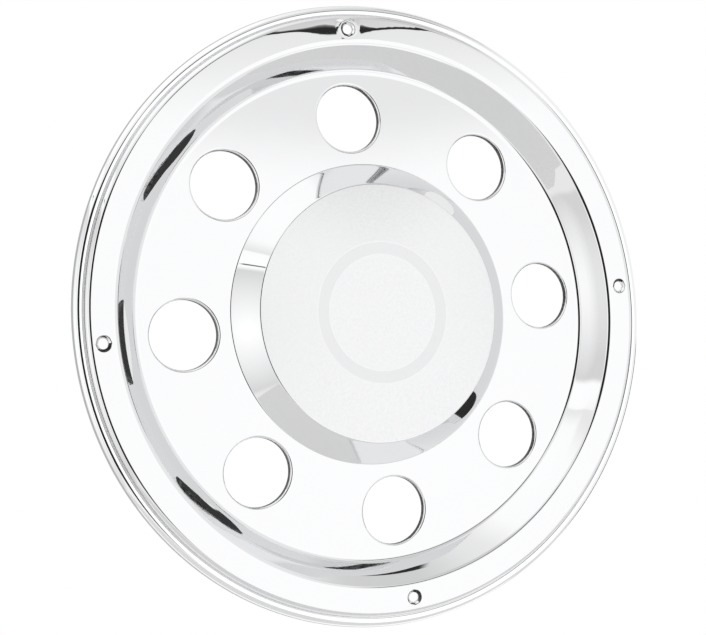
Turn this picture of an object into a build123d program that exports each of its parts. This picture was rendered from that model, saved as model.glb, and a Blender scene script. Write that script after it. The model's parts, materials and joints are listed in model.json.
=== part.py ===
"""Truck wheel simulator: a polished stainless cover pressed from one round sheet.

The wheel axis is Y and the show face looks along -Y, with Z up. The origin is on the axis, in the plane
where the backs of the screw seats meet the wheel. Lengths are in millimetres. The sizes run from the rim
inwards, so a new overall diameter carries every ring with it.
"""

import os
from math import hypot, radians, sin

from build123d import *

# Sheet
sheet_thickness = 1.0

# Rolled rim, a round bead at the edge of the sheet, its angles counted from the crest to either side
overall_diameter = 588.0
bead_radius = 6.0
bead_inner_angle = 30.0
bead_outer_angle = 150.0

# Groove between the bead and the flange, whose edge rolls over into it
groove_bend = 0.6
edge_roll_radius = 5.2
edge_roll_angle = 82.0

# Flange, the flat ring that carries the screw seats
flange_width = 22.46
flange_bend = 9.0

# Screw seats pressed into the flange, set off from its inner edge
screw_count = 4
screw_inset = 13.0
screw_hole_diameter = 9.0
screw_floor_diameter = 10.6
screw_mouth_diameter = 14.2
screw_seat_depth = 2.0

# Recess wall, which swells a little between the flange and the disc
wall_outer_run = 11.88
wall_outer_depth = 11.63
wall_inner_run = 10.82
wall_swell = 110.0

# Disc, dished back a little towards the wall
disc_width = 90.8
disc_depth = 20.3
disc_dish = 3.95
disc_bend = 8.0

# Hand holes half way across the disc, with a lip turned to the back
hand_hole_count = 8
hand_hole_diameter = 64.2
hand_hole_lip_depth = 6.0
hand_hole_lip_bend = 2.5

# Centre dome, with a side hollowed along most of its length and a shallow eye in its crown
dome_side_run = 20.8
dome_side_height = 20.15
dome_side_hollow = 0.89
dome_side_arc_share = 0.85
dome_bend = 2.5
dome_crown_width = 55.0
dome_crown_rise = 4.65
dome_eye_slope_width = 12.1
dome_eye_depth = 0.7
dome_eye_bend = 12.0

# Radii of the rings, from the rim inwards
bead_inner_sine = sin(radians(bead_inner_angle))
edge_roll_sine = sin(radians(edge_roll_angle))
groove_outer_radius = overall_diameter / 2 - bead_radius - bead_radius * bead_inner_sine
groove_inner_radius = groove_outer_radius - groove_bend * (bead_inner_sine + edge_roll_sine)
flange_outer_radius = groove_inner_radius - edge_roll_radius * edge_roll_sine
flange_inner_radius = flange_outer_radius - flange_width
screw_circle_radius = flange_inner_radius + screw_inset
wall_middle_radius = flange_inner_radius - wall_outer_run
disc_radius = wall_middle_radius - wall_inner_run
dome_foot_radius = disc_radius - disc_width
hand_hole_circle_radius = (disc_radius + dome_foot_radius) / 2
dome_shoulder_radius = dome_foot_radius - dome_side_run
dome_crest_radius = dome_shoulder_radius - dome_crown_width
dome_eye_radius = dome_crest_radius - dome_eye_slope_width

# Places of the front surface along the axis
flange_face = -(screw_seat_depth + sheet_thickness)
wall_middle = flange_face + wall_outer_depth
disc_at_dome = flange_face + disc_depth
disc_at_wall = disc_at_dome + disc_dish
dome_shoulder = disc_at_dome - dome_side_height
dome_crest = dome_shoulder - dome_crown_rise
dome_eye = dome_crest + dome_eye_depth

# Middle of the dome's side, set back from the straight line between its ends, and the bend that hollows it
dome_side_length = hypot(dome_side_run, dome_side_height)
dome_middle_inset = dome_side_hollow * dome_side_height / dome_side_length
dome_middle_setback = dome_side_hollow * dome_side_run / dome_side_length
dome_middle_radius = (dome_shoulder_radius + dome_foot_radius) / 2 - dome_middle_inset
dome_middle = (dome_shoulder + disc_at_dome) / 2 + dome_middle_setback
dome_side_bend = dome_side_arc_share * (dome_side_length / 2) ** 2 / dome_side_hollow


def disc_front(radius):
    """Place of the disc's front surface along the axis at a radius."""
    return disc_at_dome + disc_dish * (radius - dome_foot_radius) / disc_width


# Lips of the hand holes: tubes that follow the dish of the disc, from the middle of the sheet to the back
lip_outer_radius = hand_hole_diameter / 2 + sheet_thickness
lip_band_inner = hand_hole_circle_radius - lip_outer_radius - sheet_thickness
lip_band_outer = hand_hole_circle_radius + lip_outer_radius + sheet_thickness
lip_start = sheet_thickness / 2

with BuildPart() as hand_hole_lips:
    with BuildSketch(Plane.XY) as lip_band:
        with BuildLine():
            Polyline(
                (lip_band_inner, disc_front(lip_band_inner) + lip_start),
                (lip_band_outer, disc_front(lip_band_outer) + lip_start),
                (lip_band_outer, disc_front(lip_band_outer) + hand_hole_lip_depth),
                (lip_band_inner, disc_front(lip_band_inner) + hand_hole_lip_depth),
                close=True,
            )
        make_face()
    revolve(axis=Axis.Y)
    with BuildSketch(Plane.XZ) as lip_rounds:
        with PolarLocations(hand_hole_circle_radius, hand_hole_count):
            Circle(lip_outer_radius)
    extrude(amount=overall_diameter, both=True, mode=Mode.INTERSECT)

# One screw seat by itself, mouth up: the flange around its mouth, a conical wall and a floor with the hole
screw_floor_height = sheet_thickness
screw_mouth_height = screw_floor_height + screw_seat_depth
screw_ring_radius = screw_mouth_diameter / 2 + sheet_thickness

with BuildPart() as screw_seat:
    with BuildSketch(Plane.XZ) as seat_section:
        with BuildLine():
            Polyline(
                (screw_ring_radius, screw_mouth_height),
                (screw_mouth_diameter / 2, screw_mouth_height),
                (screw_floor_diameter / 2, screw_floor_height),
                (screw_hole_diameter / 2, screw_floor_height),
            )
            offset(amount=sheet_thickness, side=Side.LEFT, kind=Kind.INTERSECTION)
        make_face()
    revolve(axis=Axis.Z)

with BuildPart() as wheel_cover:
    # The pressed dish: its front line from the axis to the rim, thickened to the back and turned about the axis
    with BuildSketch(Plane.XY) as dish_section:
        with BuildLine():
            front_line = FilletPolyline(
                (0, dome_eye),
                (dome_eye_radius, dome_eye),
                (dome_crest_radius, dome_crest),
                (dome_shoulder_radius, dome_shoulder),
                (dome_middle_radius, dome_middle),
                (dome_foot_radius, disc_at_dome),
                (disc_radius, disc_at_wall),
                (wall_middle_radius, wall_middle),
                (flange_inner_radius, flange_face),
                (flange_outer_radius, flange_face),
                radius=[
                    dome_eye_bend,
                    dome_eye_bend,
                    dome_bend,
                    dome_side_bend,
                    dome_bend,
                    disc_bend,
                    wall_swell,
                    flange_bend,
                ],
            )
            edge_roll = JernArc(
                start=front_line @ 1, tangent=front_line % 1, radius=edge_roll_radius, arc_size=edge_roll_angle
            )
            groove = JernArc(
                start=edge_roll @ 1,
                tangent=edge_roll % 1,
                radius=groove_bend,
                arc_size=-(edge_roll_angle + bead_inner_angle),
            )
            JernArc(
                start=groove @ 1,
                tangent=groove % 1,
                radius=bead_radius,
                arc_size=bead_inner_angle + bead_outer_angle,
            )
            offset(amount=sheet_thickness, side=Side.LEFT)
        make_face()
    revolve(axis=Axis.Y)

    # Hand holes: the lips join the disc at the back, the holes pass through and their mouths are rounded
    add(hand_hole_lips.part)
    lip_roots = wheel_cover.edges(Select.LAST).sort_by(Axis.Y)[:hand_hole_count]
    chamfer(lip_roots, hand_hole_lip_bend - sheet_thickness)
    with BuildSketch(Plane.XZ) as hand_holes:
        with PolarLocations(hand_hole_circle_radius, hand_hole_count):
            Circle(hand_hole_diameter / 2)
    extrude(amount=overall_diameter, both=True, mode=Mode.SUBTRACT)
    hand_hole_mouths = wheel_cover.edges(Select.LAST).sort_by(Axis.Y)[:hand_hole_count]
    fillet(hand_hole_mouths, hand_hole_lip_bend)

    # Screw seats: the flange is opened at each place and the pressed seat set in flush
    with BuildSketch(Plane.XZ) as seat_rounds:
        with PolarLocations(screw_circle_radius, screw_count):
            Circle(screw_ring_radius)
    extrude(amount=overall_diameter, both=True, mode=Mode.SUBTRACT)
    with Locations(Plane.XZ):
        with PolarLocations(screw_circle_radius, screw_count):
            add(screw_seat.part)

wheel_cover.part.label = "wheel_cover"

os.makedirs("parts", exist_ok=True)
export_step(wheel_cover.part, "parts/wheel_cover.step")
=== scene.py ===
import json
from math import atan2, cos, pi, radians, sin, sqrt, tan

import bpy
import numpy as np
from mathutils import Matrix, Vector


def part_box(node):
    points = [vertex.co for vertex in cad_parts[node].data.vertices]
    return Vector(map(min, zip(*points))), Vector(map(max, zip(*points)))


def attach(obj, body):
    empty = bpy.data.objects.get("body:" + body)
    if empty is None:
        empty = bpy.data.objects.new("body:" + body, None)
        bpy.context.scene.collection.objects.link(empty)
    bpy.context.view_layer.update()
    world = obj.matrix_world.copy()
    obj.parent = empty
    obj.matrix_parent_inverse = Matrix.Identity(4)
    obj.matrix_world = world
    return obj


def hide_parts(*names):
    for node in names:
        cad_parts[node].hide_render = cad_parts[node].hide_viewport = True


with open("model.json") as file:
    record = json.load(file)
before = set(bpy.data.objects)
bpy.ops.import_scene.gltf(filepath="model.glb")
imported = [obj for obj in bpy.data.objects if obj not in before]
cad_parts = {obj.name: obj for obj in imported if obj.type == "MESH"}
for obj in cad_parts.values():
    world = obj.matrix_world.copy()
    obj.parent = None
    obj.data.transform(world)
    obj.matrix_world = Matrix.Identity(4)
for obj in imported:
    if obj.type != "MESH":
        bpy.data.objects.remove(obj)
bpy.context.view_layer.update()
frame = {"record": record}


# Pressed dish: one round blank of bright stainless sheet, drawn in a die into a flange, a sloping wall, a disc and
# a low dome. The line of its front surface runs from the axis out to the rim: radius first, then place along the
# axis, where less is nearer to the viewer.
lowest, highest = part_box("wheel_cover")
sheet_thickness = 0.0010
bead_radius = 0.0060
bead_inner_angle = radians(30)
groove_bend = 0.0006
edge_roll = 0.0052
edge_roll_angle = radians(82)
flange_width = 0.02246
wall_outer_run, wall_outer_depth = 0.01188, 0.01163
wall_inner_run = 0.01082
disc_width, disc_depth, disc_dish = 0.0908, 0.0203, 0.00395
side_run, side_height, side_hollow = 0.0208, 0.02015, 0.00089
side_arc_share = 0.85
crown_width, crown_rise = 0.0550, 0.00465
eye_slope_width, eye_depth = 0.0121, 0.0007

groove_outer = (highest[0] - lowest[0]) / 2 - bead_radius * (1 + sin(bead_inner_angle))
groove_inner = groove_outer - groove_bend * (sin(bead_inner_angle) + sin(edge_roll_angle))
flange_outer = groove_inner - edge_roll * sin(edge_roll_angle)
flange_inner = flange_outer - flange_width
wall_middle = flange_inner - wall_outer_run
disc_outer = wall_middle - wall_inner_run
dome_foot = disc_outer - disc_width
dome_shoulder = dome_foot - side_run
dome_crest = dome_shoulder - crown_width
dome_eye = dome_crest - eye_slope_width

flange_face = -0.0030
wall_face = flange_face + wall_outer_depth
disc_face = flange_face + disc_depth
shoulder_face = disc_face - side_height
crest_face = shoulder_face - crown_rise
eye_face = crest_face + eye_depth
side_length = sqrt(side_run**2 + side_height**2)
side_middle = (
    (dome_shoulder + dome_foot) / 2 - side_hollow * side_height / side_length,
    (shoulder_face + disc_face) / 2 + side_hollow * side_run / side_length,
)
side_bend = side_arc_share * (side_length / 2) ** 2 / side_hollow

dish_corners = [
    (0.0, eye_face),
    (dome_eye, eye_face),
    (dome_crest, crest_face),
    (dome_shoulder, shoulder_face),
    side_middle,
    (dome_foot, disc_face),
    (disc_outer, disc_face + disc_dish),
    (wall_middle, wall_face),
    (flange_inner, flange_face),
    (flange_outer, flange_face),
]
eye_bend, dome_bend, disc_bend, wall_swell, flange_bend = 0.012, 0.0025, 0.008, 0.110, 0.009
dish_bends = [eye_bend, eye_bend, dome_bend, side_bend, dome_bend, disc_bend, wall_swell, flange_bend]
dish_bend_rows = [2, 3, 8, 8, 8, 10, 4, 10]
columns = 224


def roll_rows(start, radius, turn, steps):
    """Rows of the sheet rolled on from a row by a turn, to the back or, if less than nothing, to the front."""
    side = 1 if turn > 0 else -1
    middle = (start[0] - side * radius * sin(start[2]), start[1] + side * radius * cos(start[2]))
    headings = [start[2] + turn * step / steps for step in range(steps + 1)]
    return [
        (middle[0] + side * radius * sin(heading), middle[1] - side * radius * cos(heading), heading)
        for heading in headings
    ]


def bend_rows(before, corner, after, radius, steps):
    """Rows round one bend of the sheet: radius, place along the axis and heading of the line."""
    heading = atan2(corner[1] - before[1], corner[0] - before[0])
    turn = atan2(after[1] - corner[1], after[0] - corner[0]) - heading
    reach = radius * tan(abs(turn) / 2)
    start = (corner[0] - reach * cos(heading), corner[1] - reach * sin(heading), heading)
    return roll_rows(start, radius, turn, steps)


def run_rows(start, end, steps):
    """Rows along a straight run of the sheet, between the ends of two bends."""
    heading = end[2]
    return [
        (start[0] + (end[0] - start[0]) * step / steps, start[1] + (end[1] - start[1]) * step / steps, heading)
        for step in range(steps + 1)
    ]


sheet_patches = []


def lay_rings(rows, finish, turns, edge_at_end=False):
    """Lays rows of the sheet round the axis, over the given turning angles."""
    turns = np.asarray(turns)
    radius, place, heading = np.array(rows).T
    across, along = np.cos(turns), np.sin(turns)
    points = np.stack(
        [np.outer(radius, across), np.outer(place, np.ones_like(turns)), np.outer(radius, along)], axis=-1
    )
    normals = np.stack(
        [
            np.outer(np.sin(heading), across),
            np.outer(-np.cos(heading), np.ones_like(turns)),
            np.outer(np.sin(heading), along),
        ],
        axis=-1,
    )
    sheet_patches.append((points, normals, finish, False, edge_at_end))


whole_turn = 2 * pi * np.arange(columns + 1) / columns
whole_turn[-1] = 0.0
dish_lines = [
    bend_rows(*dish_corners[bend : bend + 3], dish_bends[bend], dish_bend_rows[bend])
    for bend in range(len(dish_bends))
]
eye_line, crest_line, shoulder_line, side_line, foot_line, disc_line, wall_line, flange_line = dish_lines
for rows, finish in (
    (eye_line, "satin"),
    (run_rows(eye_line[-1], crest_line[0], steps=2), "ring"),
    (crest_line, "satin"),
    (run_rows(crest_line[-1], shoulder_line[0], steps=8), "satin"),
    (shoulder_line, "mirror"),
    (run_rows(shoulder_line[-1], side_line[0], steps=1), "mirror"),
    (side_line, "mirror"),
    (run_rows(side_line[-1], foot_line[0], steps=1), "mirror"),
    (foot_line, "mirror"),
    (disc_line, "mirror"),
    (run_rows(disc_line[-1], wall_line[0], steps=2), "mirror"),
    (wall_line, "mirror"),
    (run_rows(wall_line[-1], flange_line[0], steps=2), "mirror"),
    (flange_line, "mirror"),
):
    lay_rings(rows, finish, whole_turn)


# Eye of the dome: the flat middle of the crown, left by the nose of the punch. Its rings halve their number of
# points towards the middle, so that the faces stay even.
eye_fewest_points = 12
eye_crowding = 0.8
eye_edge = eye_line[0][0]
eye_rings, eye_starts, eye_points, eye_triangles = [], [], [], []
eye_count = columns
while eye_count >= eye_fewest_points:
    eye_rings.append((eye_edge * (eye_count / columns) ** eye_crowding, eye_count))
    eye_count //= 2
for ring_radius, ring_count in eye_rings:
    eye_starts.append(len(eye_points))
    for number in range(ring_count):
        angle = 2 * pi * number / ring_count
        eye_points.append((ring_radius * cos(angle), eye_face, ring_radius * sin(angle)))
for ring in range(len(eye_rings) - 1):
    outer_start, outer_count = eye_starts[ring], eye_rings[ring][1]
    inner_start, inner_count = eye_starts[ring + 1], eye_rings[ring + 1][1]
    for number in range(inner_count):
        here, there = inner_start + number, inner_start + (number + 1) % inner_count
        first = outer_start + 2 * number
        middle = first + 1
        last = outer_start + (2 * number + 2) % outer_count
        eye_triangles += [(here, first, middle), (here, middle, there), (there, middle, last)]
eye_points.append((0.0, eye_face, 0.0))
for number in range(eye_rings[-1][1]):
    here = eye_starts[-1] + number
    there = eye_starts[-1] + (number + 1) % eye_rings[-1][1]
    eye_triangles.append((len(eye_points) - 1, here, there))


# Hand holes: eight round holes pierced in the disc and plunged, so that the sheet turns to the back in a short lip
# all round. The inside of the lip is painted black as painted shade, for the shadowed space behind the cover that it
# reflects. Each hole lies in its own eighth of the disc, whose mesh runs in from that eighth's edge to the hole.
hand_hole_count = 8
hand_hole_radius = 0.0321
hand_hole_lip_depth = 0.0060
hand_hole_lip_bend = 0.0025
hand_hole_lip_rows = 7
# Rows of the lip, from its cut edge, that are painted black as painted shade.
lip_black_rows = 4
hand_hole_circle = (disc_outer + dome_foot) / 2
disc_slope = disc_dish / (disc_outer - dome_foot)
disc_side_steps = 18
disc_loops = 9
disc_crowding = 1.4


def disc_place(radius):
    """Place of the disc's front along the axis, at a radius from the wheel axis."""
    return disc_face + disc_slope * (radius - dome_foot)


def edge_loop(inner_radius, outer_radius, half_turn, turn_steps, side_steps):
    """Points round one stretch of a ring, as radius and turn, starting along its outer edge."""
    turns = np.linspace(-half_turn, half_turn, turn_steps + 1)
    radii = np.linspace(outer_radius, inner_radius, side_steps + 1)
    loop = [(outer_radius, turn) for turn in turns[:-1]]
    loop += [(radius, half_turn) for radius in radii[:-1]]
    loop += [(inner_radius, turn) for turn in turns[:0:-1]]
    loop += [(radius, -half_turn) for radius in radii[:0:-1]]
    return np.array(loop + loop[:1])


def seen_from_hole(loop, hole_circle):
    """Angle and distance of a loop's points, as seen from the axis of the hole inside it."""
    out = loop[:, 0] * np.cos(loop[:, 1]) - hole_circle
    across = loop[:, 0] * np.sin(loop[:, 1])
    return np.arctan2(across, out), np.hypot(out, across)


def hole_directions(number, count):
    """Directions at one of several even holes: outwards from the wheel axis, and round it."""
    turn = 2 * pi * number / count
    return np.array([cos(turn), 0.0, sin(turn)]), np.array([-sin(turn), 0.0, cos(turn)])


disc_loop = edge_loop(
    foot_line[-1][0], disc_line[0][0], pi / hand_hole_count, columns // hand_hole_count, disc_side_steps
)
loop_angle, loop_reach = seen_from_hole(disc_loop, hand_hole_circle)


def from_axis(reach):
    """Distance from the wheel axis of points at a distance from the hole's own axis."""
    return np.hypot(hand_hole_circle + reach * np.cos(loop_angle), reach * np.sin(loop_angle))


lip_foot = hand_hole_radius + hand_hole_lip_bend
foot_slope = disc_slope * (lip_foot + hand_hole_circle * np.cos(loop_angle)) / from_axis(lip_foot)
foot_lean = np.sqrt(1 + foot_slope**2)
lip_foot = lip_foot + hand_hole_lip_bend * foot_slope / foot_lean
lip_middle = disc_place(from_axis(lip_foot)) + hand_hole_lip_bend / foot_lean
lip_side_lean = -disc_slope * hand_hole_circle * np.sin(loop_angle) / from_axis(lip_foot)

lip_end = disc_place(from_axis(hand_hole_radius)) + hand_hole_lip_depth

# Each row of the hole: reach from the hole's axis, place along it, and its normal outwards, along and sideways.
ones, zeros = np.ones_like(loop_angle), np.zeros_like(loop_angle)
hole_rows = [
    (hand_hole_radius * ones, lip_end, -ones, zeros, zeros),
    (hand_hole_radius * ones, (lip_end + lip_middle) / 2, -ones, zeros, zeros),
]
mouth_angle = np.arctan2(-ones, foot_slope)
for step in range(hand_hole_lip_rows + 1):
    angle = -pi + (mouth_angle + pi) * step / hand_hole_lip_rows
    hole_rows.append(
        (
            hand_hole_radius + hand_hole_lip_bend + hand_hole_lip_bend * np.cos(angle),
            lip_middle + hand_hole_lip_bend * np.sin(angle),
            np.cos(angle),
            np.sin(angle),
            -np.sin(angle) * lip_side_lean,
        )
    )
for step in range(1, disc_loops + 1):
    share = (step / disc_loops) ** disc_crowding
    reach = lip_foot + (loop_reach - lip_foot) * share
    radius = from_axis(reach)
    lean_out = disc_slope * (reach + hand_hole_circle * np.cos(loop_angle)) / radius
    lean_side = -disc_slope * hand_hole_circle * np.sin(loop_angle) / radius
    hole_rows.append((reach, disc_place(radius), lean_out, -ones, lean_side))

for number in range(hand_hole_count):
    out, side = hole_directions(number, hand_hole_count)
    ray = np.outer(np.cos(loop_angle), out) + np.outer(np.sin(loop_angle), side)
    round_hole = np.outer(np.cos(loop_angle), side) - np.outer(np.sin(loop_angle), out)
    points, normals = [], []
    for reach, place, normal_out, normal_along, normal_side in hole_rows:
        point = hand_hole_circle * out + reach[:, None] * ray
        point[:, 1] = place
        normal = normal_out[:, None] * ray + normal_side[:, None] * round_hole
        normal[:, 1] = normal_along
        points.append(point)
        normals.append(normal / np.linalg.norm(normal, axis=1)[:, None])
    points, normals = np.array(points), np.array(normals)
    # The inner rows of the lip take the black painted shade, the rest the mirror.
    sheet_patches.append((points[: lip_black_rows + 1], normals[: lip_black_rows + 1], "black", True, False))
    sheet_patches.append((points[lip_black_rows:], normals[lip_black_rows:], "mirror", False, False))


# Flange and screw seats: the flat ring that lies on the wheel's rim, with four conical seats pressed into it for
# the fixing screws. The screws are not fitted, so each seat shows its open hole. Black painted shade lies in a line
# round the floor and the mouth of every seat, and in a broader patch on one side.
bolt_pattern = frame["record"]["mounts"][0]["dims"]
screw_count = bolt_pattern["count"]
mm_in_metre = 1000
screw_circle = bolt_pattern["pcd_mm"] / 2 / mm_in_metre
screw_hole = bolt_pattern["hole_r_mm"] / mm_in_metre
screw_floor = 0.0053
screw_mouth = 0.0071
screw_seat_depth = 0.0020
seat_floor_bend, seat_mouth_bend, seat_bend_rows = 0.0010, 0.0012, 5
seat_collar = 0.0010
seat_loops = 5
seat_crowding = 1.3
seat_half_columns = 2
flange_steps = 20

seat_corners = [
    (screw_hole, flange_face + screw_seat_depth),
    (screw_floor, flange_face + screw_seat_depth),
    (screw_mouth, flange_face),
    (screw_mouth + seat_collar, flange_face),
]
seat_rows = [(*seat_corners[0], 0.0)]
seat_rows += bend_rows(*seat_corners[:3], seat_floor_bend, seat_bend_rows)
seat_rows += bend_rows(*seat_corners[1:], seat_mouth_bend, seat_bend_rows)

column_turn = 2 * pi / columns
seat_loop = edge_loop(
    flange_line[-1][0], flange_outer, seat_half_columns * column_turn, 2 * seat_half_columns, flange_steps
)
seat_angle, seat_reach = seen_from_hole(seat_loop, screw_circle)

# The black painted shade on a seat: from which row of faces, up to which, and how far round to either side of the
# black side.
# Side of each seat where the painted shade spreads into a broader patch.
black_side = radians(98)
seat_black = [(1, 2, 180), (8, 10, 180), (2, 12, 45), (6, 12, 70), (8, 11, 100)]
seat_finish = np.full((len(seat_rows) + seat_loops - 1, len(seat_angle) - 1), "mirror", dtype=object)
from_black_side = np.abs((seat_angle[:-1] - black_side + pi) % (2 * pi) - pi)
for first_row, end_row, half_angle in seat_black:
    seat_finish[first_row:end_row, from_black_side <= radians(half_angle)] = "black"
quarter = columns // screw_count
flange_rows = run_rows(flange_line[-1], (flange_outer, flange_face, 0.0), flange_steps)
for number in range(screw_count):
    out, side = hole_directions(number, screw_count)
    ray = np.outer(np.cos(seat_angle), out) + np.outer(np.sin(seat_angle), side)
    points, normals = [], []
    for reach, place, heading in seat_rows:
        point = screw_circle * out + reach * ray
        point[:, 1] = place
        normal = sin(heading) * ray
        normal[:, 1] = -cos(heading)
        points.append(point)
        normals.append(normal)
    for step in range(1, seat_loops + 1):
        reach = seat_rows[-1][0] + (seat_reach - seat_rows[-1][0]) * (step / seat_loops) ** seat_crowding
        point = screw_circle * out + reach[:, None] * ray
        point[:, 1] = flange_face
        points.append(point)
        normals.append(np.tile([0.0, -1.0, 0.0], (len(reach), 1)))
    sheet_patches.append((np.array(points), np.array(normals), seat_finish, True, False))
    between = (np.arange(seat_half_columns, quarter - seat_half_columns + 1) + number * quarter) * column_turn
    lay_rings(flange_rows, "mirror", between)


# Rolled rim: the edge of the flange rolls over into a narrow groove, and beyond it the blank is curled over to the
# back in a round bead, which stiffens the cover and hides the cut edge. The groove and the outside of the bead are
# dull, with darker tones that are painted shade, and the front of the bead has a lighter tone, a painted highlight.
bead_outer_angle = radians(150)
edge_roll_rows, groove_rows, bead_rows = 14, 8, 26
groove_dull_rows = 5
bead_bright_rows = 13
edge_line = roll_rows(flange_rows[-1], edge_roll, edge_roll_angle, edge_roll_rows)
groove_line = roll_rows(edge_line[-1], groove_bend, -(edge_roll_angle + bead_inner_angle), groove_rows)
bead_line = roll_rows(groove_line[-1], bead_radius, bead_inner_angle + bead_outer_angle, bead_rows)
lay_rings(edge_line, "mirror", whole_turn)
lay_rings(groove_line[: groove_dull_rows + 1], "dull", whole_turn)
lay_rings(groove_line[groove_dull_rows:], "mirror", whole_turn)
lay_rings(bead_line[: bead_bright_rows + 1], "bright", whole_turn)
lay_rings(bead_line[bead_bright_rows:], "outside", whole_turn, edge_at_end=True)


# Dent at the top: beside the top seat the outer part of the flange is pushed back in a soft fold, which dies out along
# the rim to both sides. The pressed seat and its collar keep their shape, and lean to face a little downwards.
dent_angle = radians(8.5)
dent_width = 0.0125
dent_reach = 0.056
dent_end_width = 0.003
dent_lowest = 0.15
rim_run = 0.004
collar_radius = 0.0084
collar_fade = 0.0046
collar_lean = 0.032

# The fold's softness, and where along the flange it is softer: place, reach to both sides and how much softer.
fold_softness = 0.0020
softer_places = [(-0.022, 0.019, 0.0080), (0.014, 0.009, 0.0060)]


def dent_depth(x, z):
    """How far the sheet is pushed back at a place on the flange or the rim."""
    radius = np.hypot(x, z)
    along = screw_circle * np.arctan2(x, z)
    width = dent_width * np.exp(-((along / dent_reach) ** 2))
    slope = tan(dent_angle) * np.minimum(width / dent_end_width, 1.0)
    softness = fold_softness
    for middle, reach, softer in softer_places:
        softness = softness + softer * np.exp(-(((along - middle) / reach) ** 2))
    inside = np.minimum(radius, flange_outer) - flange_outer + width
    fold = np.where(inside > softness, inside, np.maximum(inside + softness, 0.0) ** 2 / (4 * softness))
    onto_rim = np.clip(radius - flange_outer, 0.0, rim_run)
    depth = slope * (fold + onto_rim - onto_rim**2 / (2 * rim_run))
    from_collar = np.clip((np.hypot(x, z - screw_circle) - collar_radius) / collar_fade, 0.0, 1.0)
    from_collar = from_collar**2 * (3 - 2 * from_collar)
    depth = depth * from_collar + collar_lean * (screw_circle - z) * (1 - from_collar)
    return np.where((z > dent_lowest) & (radius > flange_inner), depth, 0.0)


# Sheet as one skin: the patches are sewn together along their shared edges, the back is laid one sheet thickness
# behind the front, and the cut edges at the holes and the bead are closed.
finish_slots = ["mirror", "satin", "mill", "cut", "dull", "black", "ring", "bright", "outside"]
front_points, front_normals, front_faces, front_slots, cut_strips = [], [], [], [], []
point_count = 0
for points, normals, finish, edge_at_start, edge_at_end in sheet_patches:
    rows, across = points.shape[:2]
    grid = point_count + np.arange(rows * across).reshape(rows, across)
    point_count += rows * across
    front_points.append(points.reshape(-1, 3))
    front_normals.append(normals.reshape(-1, 3))
    quads = np.stack([grid[:-1, :-1], grid[1:, :-1], grid[1:, 1:], grid[:-1, 1:]], axis=-1).reshape(-1, 4)
    front_faces += [tuple(quad) for quad in quads.tolist()]
    names = np.broadcast_to(np.array(finish, dtype=object), (rows - 1, across - 1)).reshape(-1)
    front_slots += [finish_slots.index(name) for name in names]
    if edge_at_start:
        cut_strips.append((grid[0], points[0] - points[1], True))
    if edge_at_end:
        cut_strips.append((grid[-1], points[-1] - points[-2], False))
front_points.append(np.array(eye_points))
front_normals.append(np.tile([0.0, -1.0, 0.0], (len(eye_points), 1)))
front_faces += [tuple(point_count + corner for corner in triangle) for triangle in eye_triangles]
front_slots += [finish_slots.index("satin")] * len(eye_triangles)

front_points = np.concatenate(front_points)
front_normals = np.concatenate(front_normals)
across, along = front_points[:, 0], front_points[:, 2]
nudge = 0.0001
sewing_digits = 7
dent_lean = np.zeros_like(front_normals)
dent_lean[:, 0] = (dent_depth(across + nudge, along) - dent_depth(across - nudge, along)) / (2 * nudge)
dent_lean[:, 2] = (dent_depth(across, along + nudge) - dent_depth(across, along - nudge)) / (2 * nudge)
front_points[:, 1] += dent_depth(across, along)
front_normals -= dent_lean * front_normals[:, 1:2]
front_normals /= np.linalg.norm(front_normals, axis=1)[:, None]
_, first_seen, sewn = np.unique(
    np.round(front_points, sewing_digits), axis=0, return_index=True, return_inverse=True
)
sewn = sewn.reshape(-1)
sheet_front = front_points[first_seen]
sheet_normal = front_normals[first_seen]
sheet_back = sheet_front - sheet_thickness * sheet_normal
sheet_size = len(sheet_front)

cover_faces, cover_slots, corner_normals = [], [], []
for face, finish in zip(front_faces, front_slots):
    cover_faces.append([int(sewn[corner]) for corner in face])
    cover_slots.append(finish)
    corner_normals += [front_normals[corner] for corner in face]
for face in front_faces:
    cover_faces.append([int(sewn[corner]) + sheet_size for corner in face[::-1]])
    cover_slots.append(finish_slots.index("mill"))
    corner_normals += [-front_normals[corner] for corner in face[::-1]]
for ring, outwards, at_start in cut_strips:
    outwards = outwards / np.linalg.norm(outwards, axis=1)[:, None]
    for here in range(len(ring) - 1):
        there = here + 1
        front_here, front_there = int(sewn[ring[here]]), int(sewn[ring[there]])
        back_here, back_there = front_here + sheet_size, front_there + sheet_size
        if at_start:
            cover_faces.append([back_here, front_here, front_there, back_there])
        else:
            cover_faces.append([front_here, back_here, back_there, front_there])
        cover_slots.append(finish_slots.index("cut"))
        corner_normals += [outwards[here], outwards[here], outwards[there], outwards[there]]

cover_mesh = bpy.data.meshes.new("pressed_cover")
cover_mesh.from_pydata(np.concatenate([sheet_front, sheet_back]).tolist(), [], cover_faces)
cover_mesh.polygons.foreach_set("material_index", cover_slots)
cover_mesh.polygons.foreach_set("use_smooth", [True] * len(cover_faces))
cover_mesh.normals_split_custom_set([tuple(normal) for normal in corner_normals])
pressed_cover = bpy.data.objects.new("pressed_cover", cover_mesh)
bpy.context.scene.collection.objects.link(pressed_cover)


# Finishes of the sheet: the show face is buffed to a mirror, and the top of the dome is left satin with a ring whose
# darker tone is painted shade. The groove and the outside of the bead are dull, with darker tones that are painted
# shade, and the front of the bead has a lighter tone that is a painted highlight. The back keeps the grain of the
# mill, the cut edges are bare, and black painted shade lies in the hand-hole lips and the screw seats.
def start_finish(name):
    """A new material with its shader, and one place in the object to read patterns from."""
    material = bpy.data.materials.new(name)
    material.use_nodes = True
    nodes = material.node_tree.nodes
    place = nodes.new("ShaderNodeTexCoord").outputs["Object"]
    return material, nodes, material.node_tree.links, nodes["Principled BSDF"], place


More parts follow.
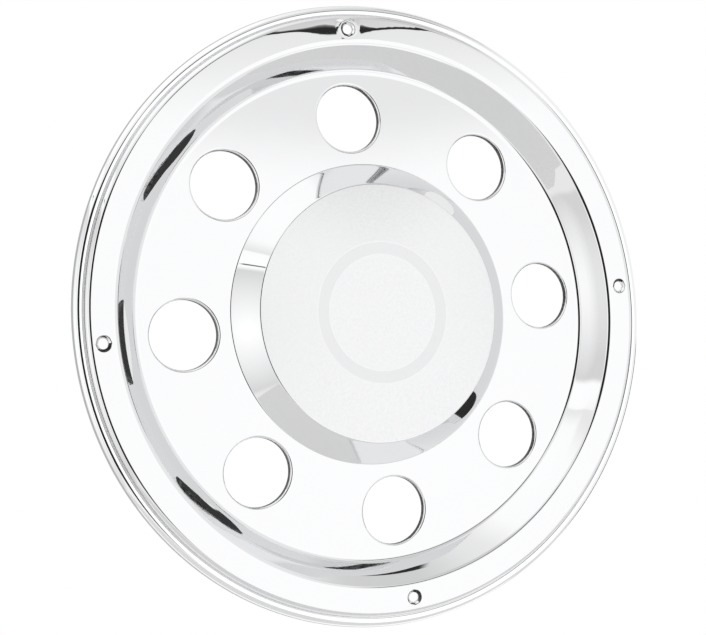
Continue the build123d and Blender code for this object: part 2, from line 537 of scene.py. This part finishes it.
def pattern(nodes, links, place, kind, **values):
    """One procedural pattern read at the place in the object."""
    node = nodes.new(kind)
    links.new(place, node.inputs["Vector"])
    for name, value in values.items():
        if name in node.inputs:
            node.inputs[name].default_value = value
        else:
            setattr(node, name, value)
    return node


def spread(nodes, links, source, target, low, high, from_low=0.3, from_high=0.7):
    """Carries a pattern to a socket, between a low and a high value."""
    node = nodes.new("ShaderNodeMapRange")
    links.new(source, node.inputs["Value"])
    node.inputs["From Min"].default_value = from_low
    node.inputs["From Max"].default_value = from_high
    node.inputs["To Min"].default_value = low
    node.inputs["To Max"].default_value = high
    links.new(node.outputs["Result"], target)


def relief(nodes, links, source, shader, depth, under=None):
    """Raises a pattern off the surface by a depth in metres, on top of another relief if there is one."""
    node = nodes.new("ShaderNodeBump")
    node.inputs["Strength"].default_value = 1.0
    node.inputs["Distance"].default_value = depth
    links.new(source, node.inputs["Height"])
    if under is not None:
        links.new(under.outputs["Normal"], node.inputs["Normal"])
    links.new(node.outputs["Normal"], shader.inputs["Normal"])
    return node


def two_tones(nodes, links, source, shader, dark, light, from_low=0.3, from_high=0.7):
    """Colours a finish by a pattern, from a dark to a light tone."""
    ramp = nodes.new("ShaderNodeValToRGB")
    for element, position, tone in zip(ramp.color_ramp.elements, (from_low, from_high), (dark, light)):
        element.position = position
        element.color = tone
    links.new(source, ramp.inputs["Fac"])
    links.new(ramp.outputs["Color"], shader.inputs["Base Color"])


def grained_steel(name, tone, gloss, depth, **grain_values):
    """Steel of one tone, with a grain of some depth that varies its gloss from a low to a high roughness."""
    material, nodes, links, shader, place = start_finish(name)
    shader.inputs["Base Color"].default_value = tone
    shader.inputs["Metallic"].default_value = 1.0
    grain = pattern(nodes, links, place, "ShaderNodeTexNoise", **grain_values).outputs["Fac"]
    spread(nodes, links, grain, shader.inputs["Roughness"], low=gloss[0], high=gloss[1])
    relief(nodes, links, grain, shader, depth)
    return material


mirror_polish, nodes, links, shader, place = start_finish("mirror_polish")
shader.inputs["Base Color"].default_value = (0.797, 0.80, 0.808, 1)
shader.inputs["Metallic"].default_value = 1.0
smudges = pattern(nodes, links, place, "ShaderNodeTexNoise", Scale=9.0, Detail=5.0, Roughness=0.62)
spread(nodes, links, smudges.outputs["Fac"], shader.inputs["Roughness"], low=0.015, high=0.05, from_low=0.35)
ripples = pattern(nodes, links, place, "ShaderNodeTexNoise", Scale=20.0, Detail=1.0, Roughness=0.4)
ripple_relief = relief(nodes, links, ripples.outputs["Fac"], shader, depth=0.00008)
buffing = pattern(
    nodes, links, place, "ShaderNodeTexWave", wave_type="RINGS", rings_direction="Y", Scale=160.0, Distortion=3.0
)
relief(nodes, links, buffing.outputs["Fac"], shader, depth=0.0000004, under=ripple_relief)

satin_crown, nodes, links, shader, place = start_finish("satin_crown")
shader.inputs["Metallic"].default_value = 1.0
grain = pattern(nodes, links, place, "ShaderNodeTexNoise", Scale=420.0, Detail=4.0, Roughness=0.65)
two_tones(
    nodes, links, grain.outputs["Fac"], shader, dark=(0.719, 0.722, 0.729, 1), light=(0.771, 0.774, 0.781, 1)
)
spread(nodes, links, grain.outputs["Fac"], shader.inputs["Roughness"], low=0.14, high=0.20)
relief(nodes, links, grain.outputs["Fac"], shader, depth=0.00003)

# Ring round the eye of the dome: satin steel of a darker tone, painted shade for the ring's slope.
ring_painted_shade = grained_steel(
    "ring_painted_shade",
    tone=(0.702, 0.705, 0.712, 1),
    gloss=(0.18, 0.26),
    depth=0.00003,
    Scale=420.0,
    Detail=4.0,
    Roughness=0.65,
)

# Front of the bead: polished steel of a lighter tone than the mirror, a painted highlight.
bead_painted_highlight, nodes, links, shader, place = start_finish("bead_painted_highlight")
shader.inputs["Base Color"].default_value = (0.877, 0.88, 0.886, 1)
shader.inputs["Metallic"].default_value = 1.0
smudges = pattern(nodes, links, place, "ShaderNodeTexNoise", Scale=14.0, Detail=5.0, Roughness=0.62)
spread(nodes, links, smudges.outputs["Fac"], shader.inputs["Roughness"], low=0.015, high=0.06, from_low=0.35)
scuffs = pattern(nodes, links, place, "ShaderNodeTexNoise", Scale=60.0, Detail=2.0, Roughness=0.5)
relief(nodes, links, scuffs.outputs["Fac"], shader, depth=0.000015)

mill_back, nodes, links, shader, place = start_finish("mill_back")
shader.inputs["Metallic"].default_value = 1.0
film = pattern(nodes, links, place, "ShaderNodeTexNoise", Scale=14.0, Detail=6.0, Roughness=0.65)
two_tones(nodes, links, film.outputs["Fac"], shader, dark=(0.60, 0.60, 0.595, 1), light=(0.74, 0.745, 0.75, 1))
spread(nodes, links, film.outputs["Fac"], shader.inputs["Roughness"], low=0.30, high=0.46)
mill_grain = nodes.new("ShaderNodeMapping")
mill_grain.inputs["Scale"].default_value = (40.0, 900.0, 900.0)
links.new(place, mill_grain.inputs["Vector"])
grain = pattern(nodes, links, mill_grain.outputs["Vector"], "ShaderNodeTexNoise", Scale=1.0, Detail=2.0)
relief(nodes, links, grain.outputs["Fac"], shader, depth=0.000012)

# Outside of the bead: dull steel, darkened far below the rest as painted shade.
bead_outside_painted_shade = grained_steel(
    "bead_outside_painted_shade",
    tone=(0.437, 0.44, 0.447, 1),
    gloss=(0.22, 0.38),
    depth=0.00002,
    Scale=70.0,
    Detail=5.0,
    Roughness=0.6,
)
cut_edge = grained_steel(
    "cut_edge",
    tone=(0.72, 0.725, 0.73, 1),
    gloss=(0.25, 0.5),
    depth=0.00004,
    Scale=1600.0,
    Detail=3.0,
)
# Rolled groove: dull steel, whose darker tone is painted shade for the narrow groove.
dull_groove_painted_shade = grained_steel(
    "dull_groove_painted_shade",
    tone=(0.657, 0.66, 0.667, 1),
    gloss=(0.18, 0.36),
    depth=0.00002,
    Scale=120.0,
    Detail=4.0,
    Roughness=0.6,
)

# Black of painted shade, for the hand-hole lips and the screw seats, mottled between near black and dark grey.
painted_shade_black, nodes, links, shader, place = start_finish("painted_shade_black")
shade_mottle = pattern(nodes, links, place, "ShaderNodeTexNoise", Scale=260.0, Detail=5.0, Roughness=0.65)
two_tones(
    nodes,
    links,
    shade_mottle.outputs["Fac"],
    shader,
    dark=(0.012, 0.012, 0.013, 1),
    light=(0.16, 0.16, 0.165, 1),
    from_low=0.42,
    from_high=0.72,
)
shader.inputs["Metallic"].default_value = 0.6
spread(nodes, links, shade_mottle.outputs["Fac"], shader.inputs["Roughness"], low=0.35, high=0.6)
relief(nodes, links, shade_mottle.outputs["Fac"], shader, depth=0.00006)

finishes = {
    "mirror": mirror_polish,
    "satin": satin_crown,
    "mill": mill_back,
    "cut": cut_edge,
    "dull": dull_groove_painted_shade,
    "black": painted_shade_black,
    "ring": ring_painted_shade,
    "bright": bead_painted_highlight,
    "outside": bead_outside_painted_shade,
}
for finish in finish_slots:
    cover_mesh.materials.append(finishes[finish])
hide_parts("wheel_cover")
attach(pressed_cover, "root")


# Floor: a plain round table top of matt white board, which lies level below the hung cover. The room lights it, and
# the lower slopes of the steel reflect it.
floor_drop = -0.60
floor_radius = 0.86
floor_points = 96
floor_turns = [2 * pi * number / floor_points for number in range(floor_points)]
floor_mesh = bpy.data.meshes.new("floor")
floor_mesh.from_pydata(
    [(floor_radius * cos(turn), floor_radius * sin(turn), floor_drop) for turn in floor_turns],
    [],
    [list(range(floor_points))],
)
floor = bpy.data.objects.new("floor", floor_mesh)
bpy.context.scene.collection.objects.link(floor)
pale_floor = bpy.data.materials.new("pale_floor")
pale_floor.use_nodes = True
shader = pale_floor.node_tree.nodes["Principled BSDF"]
shader.inputs["Base Color"].default_value = (0.88, 0.88, 0.88, 1)
shader.inputs["Roughness"].default_value = 0.9
floor_mesh.materials.append(pale_floor)


# Light tent: white cloth all round, with the grey and dark places that its seams, its openings and the camera leave.
# They are cards that only the steel's reflections show.
def hang_card(name, centre, right, up, level, rim_level, fade_from):
    """A soft-edged card: its middle and two half axes, its brightness there and at its rim, and where it fades."""
    mesh = bpy.data.meshes.new(name)
    mesh.from_pydata([(-1, -1, 0), (1, -1, 0), (1, 1, 0), (-1, 1, 0)], [], [[0, 1, 2, 3]])
    card = bpy.data.objects.new(name, mesh)
    right, up = Vector(right), Vector(up)
    out = right.cross(up).normalized()
    card.matrix_world = Matrix.Translation(centre) @ Matrix((right, up, out)).transposed().to_4x4()
    bpy.context.scene.collection.objects.link(card)
    card.visible_camera = False
    card.visible_diffuse = False
    card.visible_shadow = False
    material = bpy.data.materials.new(name)
    material.use_nodes = True
    nodes, links = material.node_tree.nodes, material.node_tree.links
    nodes.clear()
    place = nodes.new("ShaderNodeTexCoord").outputs["Object"]
    reach = nodes.new("ShaderNodeVectorMath")
    reach.operation = "LENGTH"
    links.new(place, reach.inputs[0])
    sides = nodes.new("ShaderNodeVectorMath")
    sides.operation = "ABSOLUTE"
    links.new(place, sides.inputs[0])
    apart = nodes.new("ShaderNodeSeparateXYZ")
    links.new(sides.outputs["Vector"], apart.inputs["Vector"])
    nearer = nodes.new("ShaderNodeMath")
    nearer.operation = "MAXIMUM"
    links.new(apart.outputs["X"], nearer.inputs[0])
    links.new(apart.outputs["Y"], nearer.inputs[1])
    glow = nodes.new("ShaderNodeEmission")
    strength = glow.inputs["Strength"]
    spread(nodes, links, reach.outputs["Value"], strength, low=level, high=rim_level, from_low=0.0, from_high=1.0)
    clear = nodes.new("ShaderNodeBsdfTransparent")
    edge = nodes.new("ShaderNodeMixShader")
    fade = nodes.new("ShaderNodeMapRange")
    fade.interpolation_type = "SMOOTHSTEP"
    fade.inputs["From Min"].default_value = fade_from
    fade.inputs["From Max"].default_value = 1.0
    links.new(nearer.outputs["Value"], fade.inputs["Value"])
    links.new(fade.outputs["Result"], edge.inputs["Fac"])
    links.new(glow.outputs["Emission"], edge.inputs[1])
    links.new(clear.outputs["BSDF"], edge.inputs[2])
    output = nodes.new("ShaderNodeOutputMaterial")
    links.new(edge.outputs["Shader"], output.inputs["Surface"])
    mesh.materials.append(material)


hang_card("left_cloth", (-1.25, -0.45, -0.03), (0, 0.90, 0), (0, 0, 0.92), 1.30, 0.81, 0.90)
hang_card("left_upper_cloth", (-1.26, -0.45, 1.02), (0, 0.90, 0), (0, 0, 0.22), 1.24, 1.22, 0.8)
hang_card("left_seam", (-1.24, -0.38, 0.915), (0, 0.32, 0), (0, 0, 0.014), 0.20, 0.20, 0.7)
hang_card("front_left_cloth", (-1.22, -1.45, 0.0), (0.30, 0, 0), (0, 0, 0.80), 1.24, 1.22, 0.7)
hang_card("front_right_cloth", (0.745, -1.50, -0.25), (0.835, 0, 0), (0, 0, 0.85), 1.23, 1.21, 0.76)
hang_card("roof_left", (-0.50, -0.35, 1.20), (0.75, 0, 0), (0, 0.80, 0), 1.23, 1.20, 0.6)
hang_card("roof_right", (0.90, -0.30, 1.21), (0.70, 0, 0), (0, 0.90, 0), 0.76, 0.80, 0.3)
hang_card("roof_hook", (0.92, -0.07, 1.19), (0.40, 0.15, 0), (-0.02, 0.06, 0), 0.03, 0.03, 0.8)
hang_card("front_roof", (0.63, -0.806, 1.097), (0.63, 0.49, 0), (-0.189, 0.242, 0.286), 0.72, 0.80, 0.6)
hang_card("front_band", (0.18, -1.40, 0.80), (0.32, 0.04, 0), (0, 0.03, 0.18), 0.04, 0.04, 0.6)
hang_card("front_seam", (0.72, -1.45, 0.88), (0.42, 0, 0), (0, 0, 0.16), 0.03, 0.03, 0.75)
hang_card("camera_gap", (-0.44, -1.52, 0.05), (0.52, 0, 0), (0, 0, 0.80), 0.02, 0.02, 0.85)
hang_card("floor_glow", (0.46, -0.60, -0.59), (0.36, 0, 0), (0, 0.26, 0), 1.22, 1.20, 0.8)
hang_card("floor_rear", (-0.15, 0.40, -0.59), (0.60, 0, 0), (0, 0.40, 0), 1.12, 1.12, 0.93)
# A dark card close behind the dome: a painted shadow, the shade behind the cover that the steel reflects.
hang_card("painted_cover_shadow", (-0.03, 0.050, 0.0), (0, 0.018, 0), (0, 0, 0.13), 0.045, 0.045, 0.95)
hang_card("rear_right_gap", (1.0, 0.345, -0.50), (-0.08, 0.236, 0), (0, 0, 0.38), 0.03, 0.03, 0.9)

world = bpy.data.worlds.new("light_tent")
bpy.context.scene.world = world
world.use_nodes = True
nodes, links = world.node_tree.nodes, world.node_tree.links
nodes.clear()
seen = nodes.new("ShaderNodeLightPath")
seen_or_mirrored = nodes.new("ShaderNodeMath")
seen_or_mirrored.operation = "MAXIMUM"
links.new(seen.outputs["Is Camera Ray"], seen_or_mirrored.inputs[0])
links.new(seen.outputs["Is Glossy Ray"], seen_or_mirrored.inputs[1])
seen_at_all = nodes.new("ShaderNodeMath")
seen_at_all.operation = "MAXIMUM"
links.new(seen_or_mirrored.outputs["Value"], seen_at_all.inputs[0])
links.new(seen.outputs["Is Transmission Ray"], seen_at_all.inputs[1])
room_light = nodes.new("ShaderNodeBackground")
room_light.inputs["Color"].default_value = (1, 1, 1, 1)
room_light.inputs["Strength"].default_value = 0.9
white_cloth = nodes.new("ShaderNodeBackground")
white_cloth.inputs["Color"].default_value = (1, 1, 1, 1)
white_cloth.inputs["Strength"].default_value = 1.0
either = nodes.new("ShaderNodeMixShader")
links.new(seen_at_all.outputs["Value"], either.inputs["Fac"])
links.new(room_light.outputs["Background"], either.inputs[1])
links.new(white_cloth.outputs["Background"], either.inputs[2])
world_output = nodes.new("ShaderNodeOutputWorld")
links.new(either.outputs["Shader"], world_output.inputs["Surface"])


# Camera: a long lens a little to the left of the wheel axis, as in the photograph, which leans slightly to one side.
# Its distance and angles are fitted to the photograph's edges, and its focal length is in pixels of that picture.
image_width = 706
focal_pixels = 1550
camera_distance = 1.4783
camera_turn, camera_rise = radians(-25.42), radians(-0.56)
camera_lean, camera_pan, camera_tilt = radians(-6.65), radians(-0.72), radians(-0.05)
aim = Vector((0, disc_face, 0))
backwards = Vector((sin(camera_turn) * cos(camera_rise), -cos(camera_turn) * cos(camera_rise), sin(camera_rise)))
level_right = Vector((cos(camera_turn), sin(camera_turn), 0))
level_up = backwards.cross(level_right)
forwards = (-backwards + tan(camera_pan) * level_right + tan(camera_tilt) * level_up).normalized()
turned_right = forwards.cross(level_up).normalized()
turned_up = turned_right.cross(forwards)
camera_right = cos(camera_lean) * turned_right + sin(camera_lean) * turned_up
camera_up = cos(camera_lean) * turned_up - sin(camera_lean) * turned_right
camera_data = bpy.data.cameras.new("camera")
camera_data.sensor_fit = "HORIZONTAL"
camera_data.sensor_width = 36.0
camera_data.lens = focal_pixels * camera_data.sensor_width / image_width
camera_data.clip_end = 20.0
camera = bpy.data.objects.new("camera", camera_data)
camera.matrix_world = (
    Matrix.Translation(aim + backwards * camera_distance)
    @ Matrix((camera_right, camera_up, -forwards)).transposed().to_4x4()
)
bpy.context.scene.collection.objects.link(camera)
bpy.context.scene.camera = camera
bpy.context.scene.view_settings.view_transform = "Standard"

bpy.context.view_layer.update()
